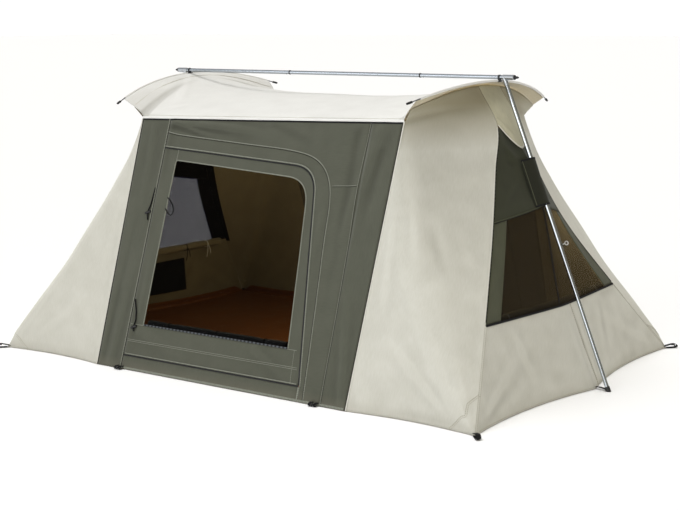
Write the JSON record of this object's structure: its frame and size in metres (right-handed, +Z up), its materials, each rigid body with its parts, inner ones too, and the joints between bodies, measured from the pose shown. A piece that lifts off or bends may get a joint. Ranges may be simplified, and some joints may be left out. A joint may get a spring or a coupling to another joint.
{
  "type": "canvas tent",
  "caption": "Cabin tent of heavy canvas: flexed steel rods spread its roof, telescoping end poles hold up a ridge tube, and each long wall has a zipped door.",
  "frame": {"origin": "on the ground under the middle of the ridge tube, half way between the front and back walls", "axes": "+X along the ridge towards the end where the front door's zip is, +Y from the front wall to the back wall, +Z up"},
  "size_m": [4.7136, 3.014, 2.151],
  "materials": {
    "roof_canvas": "matte",
    "cream_canvas": "matte",
    "sage_canvas": "matte",
    "screen_mesh": "matte",
    "floor_vinyl": "satin",
    "zinc_steel_tube": "satin",
    "spring_steel": "satin",
    "galvanised_steel": "matte",
    "cast_fitting": "matte",
    "black_nylon": "matte"
  },
  "bodies": {
    "shell": {"roof_canopy": "roof_canvas", "groundsheet": "floor_vinyl", "corner_front_left": "cream_canvas", "corner_front_right": "cream_canvas", "corner_back_left": "cream_canvas", "corner_back_right": "cream_canvas", "end_lower_left": "cream_canvas", "end_lower_right": "cream_canvas", "end_yoke_left": "sage_canvas", "end_yoke_right": "sage_canvas", "window_screen_left": "screen_mesh", "window_screen_right": "screen_mesh", "window_roll_left": "cream_canvas", "window_roll_right": "cream_canvas", "vent_hood_left": "cream_canvas", "vent_hood_right": "cream_canvas", "pole_sleeve_left": "sage_canvas", "pole_sleeve_right": "sage_canvas", "front_wall_left": "sage_canvas", "front_wall_right": "sage_canvas", "front_wall_sill": "sage_canvas", "front_wall_surround": "sage_canvas", "back_wall_left": "sage_canvas", "back_wall_right": "sage_canvas", "back_wall_sill": "sage_canvas", "back_wall_surround": "sage_canvas", "ridge_tube_left": "zinc_steel_tube", "ridge_tube_centre": "zinc_steel_tube", "ridge_tube_right": "zinc_steel_tube", "tee_connector_left": "cast_fitting", "tee_connector_right": "cast_fitting", "tee_plug_left": "black_nylon", "tee_plug_right": "black_nylon", "bow_clamp_left": "black_nylon", "bow_clamp_right": "black_nylon", "bow_rod_left": "spring_steel", "bow_rod_right": "spring_steel", "pole_upper_left": "zinc_steel_tube", "pole_upper_right": "zinc_steel_tube", "corner_stake_front_left": "galvanised_steel", "corner_stake_front_right": "galvanised_steel", "corner_stake_back_left": "galvanised_steel", "corner_stake_back_right": "galvanised_steel"},
    "front_door": {"front_door_panel": "sage_canvas", "front_door_screen": "screen_mesh", "front_door_flap_roll": "sage_canvas"},
    "back_door": {"back_door_panel": "sage_canvas", "back_door_flap": "sage_canvas"},
    "pole_leg_left": {"pole_lower_left": "zinc_steel_tube", "pole_foot_left": "black_nylon"},
    "pole_leg_right": {"pole_lower_right": "zinc_steel_tube", "pole_foot_right": "black_nylon"},
    "eye_screw_left": {"eye_screw_left": "galvanised_steel"},
    "eye_screw_right": {"eye_screw_right": "galvanised_steel"},
    "ridge_button_left": {"ridge_button_left": "spring_steel"},
    "ridge_button_right": {"ridge_button_right": "spring_steel"},
    "front_zip_slider_upper": {"front_zip_slider_upper": "galvanised_steel"},
    "front_zip_slider_lower": {"front_zip_slider_lower": "galvanised_steel"},
    "back_zip_slider_upper": {"back_zip_slider_upper": "galvanised_steel"},
    "back_zip_slider_lower": {"back_zip_slider_lower": "galvanised_steel"}
  },
  "joints": [
    {"name": "front_door_swing", "type": "hinge", "parent": "shell", "child": "front_door", "pos_m": [-0.9, -1.45, 0], "axis": [0, -0.3225, -0.9466], "range_deg": [0, 110]},
    {"name": "back_door_swing", "type": "hinge", "parent": "shell", "child": "back_door", "pos_m": [0.9, 1.45, 0], "axis": [0, 0.3225, -0.9466], "range_deg": [0, 110]},
    {"name": "pole_slide_left", "type": "slide", "parent": "shell", "child": "pole_leg_left", "axis": [0.3713, 0, 0.9285], "range_m": [0, 0.28]},
    {"name": "pole_slide_right", "type": "slide", "parent": "shell", "child": "pole_leg_right", "axis": [-0.3713, 0, 0.9285], "range_m": [0, 0.28]},
    {"name": "eye_screw_turn_left", "type": "hinge", "parent": "shell", "child": "eye_screw_left", "pos_m": [-1.95746, 0, 0.99035], "axis": [-0.9285, 0, 0.3713], "continuous": true},
    {"name": "eye_screw_turn_right", "type": "hinge", "parent": "shell", "child": "eye_screw_right", "pos_m": [1.95746, 0, 0.99035], "axis": [0.9285, 0, 0.3713], "continuous": true},
    {"name": "ridge_button_push_left", "type": "slide", "parent": "shell", "child": "ridge_button_left", "axis": [0, 0.4472, 0.8944], "range_m": [0, 0.0035], "stiffness_N_per_m": 800},
    {"name": "ridge_button_push_right", "type": "slide", "parent": "shell", "child": "ridge_button_right", "axis": [0, 0.4472, 0.8944], "range_m": [0, 0.0035], "stiffness_N_per_m": 800},
    {"name": "front_zip_upper_run", "type": "slide", "parent": "front_door", "child": "front_zip_slider_upper", "axis": [-0.1361, 0.3195, 0.9378], "range_m": [-0.35, 0.1]},
    {"name": "front_zip_lower_run", "type": "slide", "parent": "front_door", "child": "front_zip_slider_lower", "axis": [-0.1361, 0.3195, 0.9378], "range_m": [0, 0.35]},
    {"name": "back_zip_upper_run", "type": "slide", "parent": "back_door", "child": "back_zip_slider_upper", "axis": [0.1361, -0.3195, 0.9378], "range_m": [-0.35, 0.1]},
    {"name": "back_zip_lower_run", "type": "slide", "parent": "back_door", "child": "back_zip_slider_lower", "axis": [0.1361, -0.3195, 0.9378], "range_m": [0, 0.35]}
  ]
}
